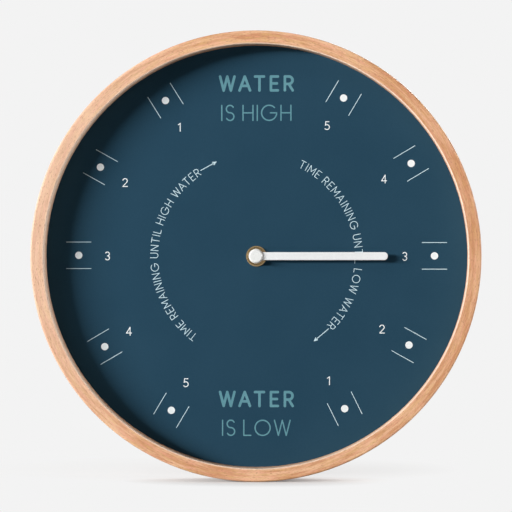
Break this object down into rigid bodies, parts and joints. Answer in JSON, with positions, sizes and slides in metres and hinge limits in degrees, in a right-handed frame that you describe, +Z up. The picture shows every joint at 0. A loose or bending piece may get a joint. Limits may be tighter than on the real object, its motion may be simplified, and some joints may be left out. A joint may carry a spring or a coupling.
{
  "type": "tide clock",
  "caption": "Round wall clock for tides: a bent wood hoop, a recessed dark dial, a white hand on a geared quartz movement, and a back board with a keyhole.",
  "frame": {"origin": "on the hand's axis, midway through the depth of the case, which is the middle of its box", "axes": "+Z up to twelve o'clock, +X to three o'clock, +Y from the dial to the wall"},
  "size_m": [0.3, 0.045, 0.3],
  "materials": {
    "beech": "oiled bent beech",
    "printed_dial": "matt dark blue print on fibreboard",
    "backing_board": "raw hard fibreboard",
    "block_wood": "sawn softwood",
    "white_hand": "white enamel",
    "white_cap": "satin white moulding",
    "brass": "turned brass",
    "black_moulding": "fine spark-eroded black moulding",
    "wheel_moulding": "natural acetal",
    "bridge_moulding": "grey moulding",
    "soft_iron": "punched soft iron",
    "magnet": "sintered magnet",
    "copper": "enamelled copper wire",
    "circuit": "solder mask",
    "chip": "black moulding compound",
    "plated_steel": "nickel plate",
    "zinc_screw": "yellow zinc",
    "rubber": "soft black rubber",
    "cell_sleeve": "plain dark sleeve with bare metal ends"
  },
  "bodies": {
    "clock_case": {"rim_hoop": "beech", "dial_board": "printed_dial", "glue_blocks": "block_wood", "back_board": "backing_board", "board_screws": "zinc_screw", "cushion_washer": "rubber", "threaded_bush": "brass", "brass_washer": "brass", "round_nut": "brass", "movement_case": "black_moulding", "movement_cover": "black_moulding", "train_bridge": "bridge_moulding", "stator": "soft_iron", "coil_core": "soft_iron", "coil_bobbin": "wheel_moulding", "coil_winding": "copper", "circuit_board": "circuit", "timing_chip": "chip", "quartz_crystal": "plated_steel", "positive_contact": "plated_steel", "negative_contact": "plated_steel"},
    "hand_and_tide_wheel": {"tide_hand": "white_hand", "hand_collet": "brass", "hand_cap": "white_cap", "tide_wheel": "wheel_moulding"},
    "knob_and_intermediate": {"intermediate_wheel": "wheel_moulding", "setting_knob": "black_moulding"},
    "cannon": {"cannon_pinion": "wheel_moulding"},
    "centre": {"centre_wheel": "wheel_moulding"},
    "third": {"third_wheel": "wheel_moulding"},
    "fourth": {"fourth_wheel": "wheel_moulding"},
    "fifth": {"fifth_wheel": "wheel_moulding"},
    "rotor": {"rotor_arbor": "wheel_moulding", "rotor_magnet": "magnet"},
    "cell": {"battery_cell": "cell_sleeve"}
  },
  "joints": [
    {"name": "tide_hand_spin", "type": "hinge", "parent": "clock_case", "child": "hand_and_tide_wheel", "pos_m": [0, 0, 0], "axis": [0, 1, 0], "continuous": true},
    {"name": "setting_knob_spin", "type": "hinge", "parent": "clock_case", "child": "knob_and_intermediate", "pos_m": [0.00717, 0, 0.00602], "axis": [0, 1, 0], "continuous": true},
    {"name": "cannon_pinion_spin", "type": "hinge", "parent": "clock_case", "child": "cannon", "pos_m": [0, 0, 0], "axis": [0, 1, 0], "continuous": true},
    {"name": "centre_wheel_spin", "type": "hinge", "parent": "clock_case", "child": "centre", "pos_m": [0, 0, 0], "axis": [0, 1, 0], "continuous": true},
    {"name": "third_wheel_spin", "type": "hinge", "parent": "clock_case", "child": "third", "pos_m": [-0.00869, 0, 0.00233], "axis": [0, 1, 0], "continuous": true},
    {"name": "fourth_wheel_spin", "type": "hinge", "parent": "clock_case", "child": "fourth", "pos_m": [-0.00943, 0, 0.0108], "axis": [0, 1, 0], "continuous": true},
    {"name": "fifth_wheel_spin", "type": "hinge", "parent": "clock_case", "child": "fifth", "pos_m": [-0.0037, 0, 0.01481], "axis": [0, 1, 0], "continuous": true},
    {"name": "rotor_spin", "type": "hinge", "parent": "clock_case", "child": "rotor", "pos_m": [0.0021, 0, 0.01636], "axis": [0, 1, 0], "continuous": true},
    {"name": "cell_slide", "type": "slide", "parent": "clock_case", "child": "cell", "axis": [0, 1, 0], "range_m": [0, 0.03]}
  ],
  "couplings": [
    {"joint": "setting_knob_spin", "follows": "tide_hand_spin", "ratio": -3.7273},
    {"joint": "cannon_pinion_spin", "follows": "tide_hand_spin", "ratio": 12.424},
    {"joint": "centre_wheel_spin", "follows": "third_wheel_spin", "ratio": -0.125},
    {"joint": "fourth_wheel_spin", "follows": "third_wheel_spin", "ratio": -7.5},
    {"joint": "fifth_wheel_spin", "follows": "third_wheel_spin", "ratio": 45},
    {"joint": "rotor_spin", "follows": "third_wheel_spin", "ratio": -225}
  ]
}
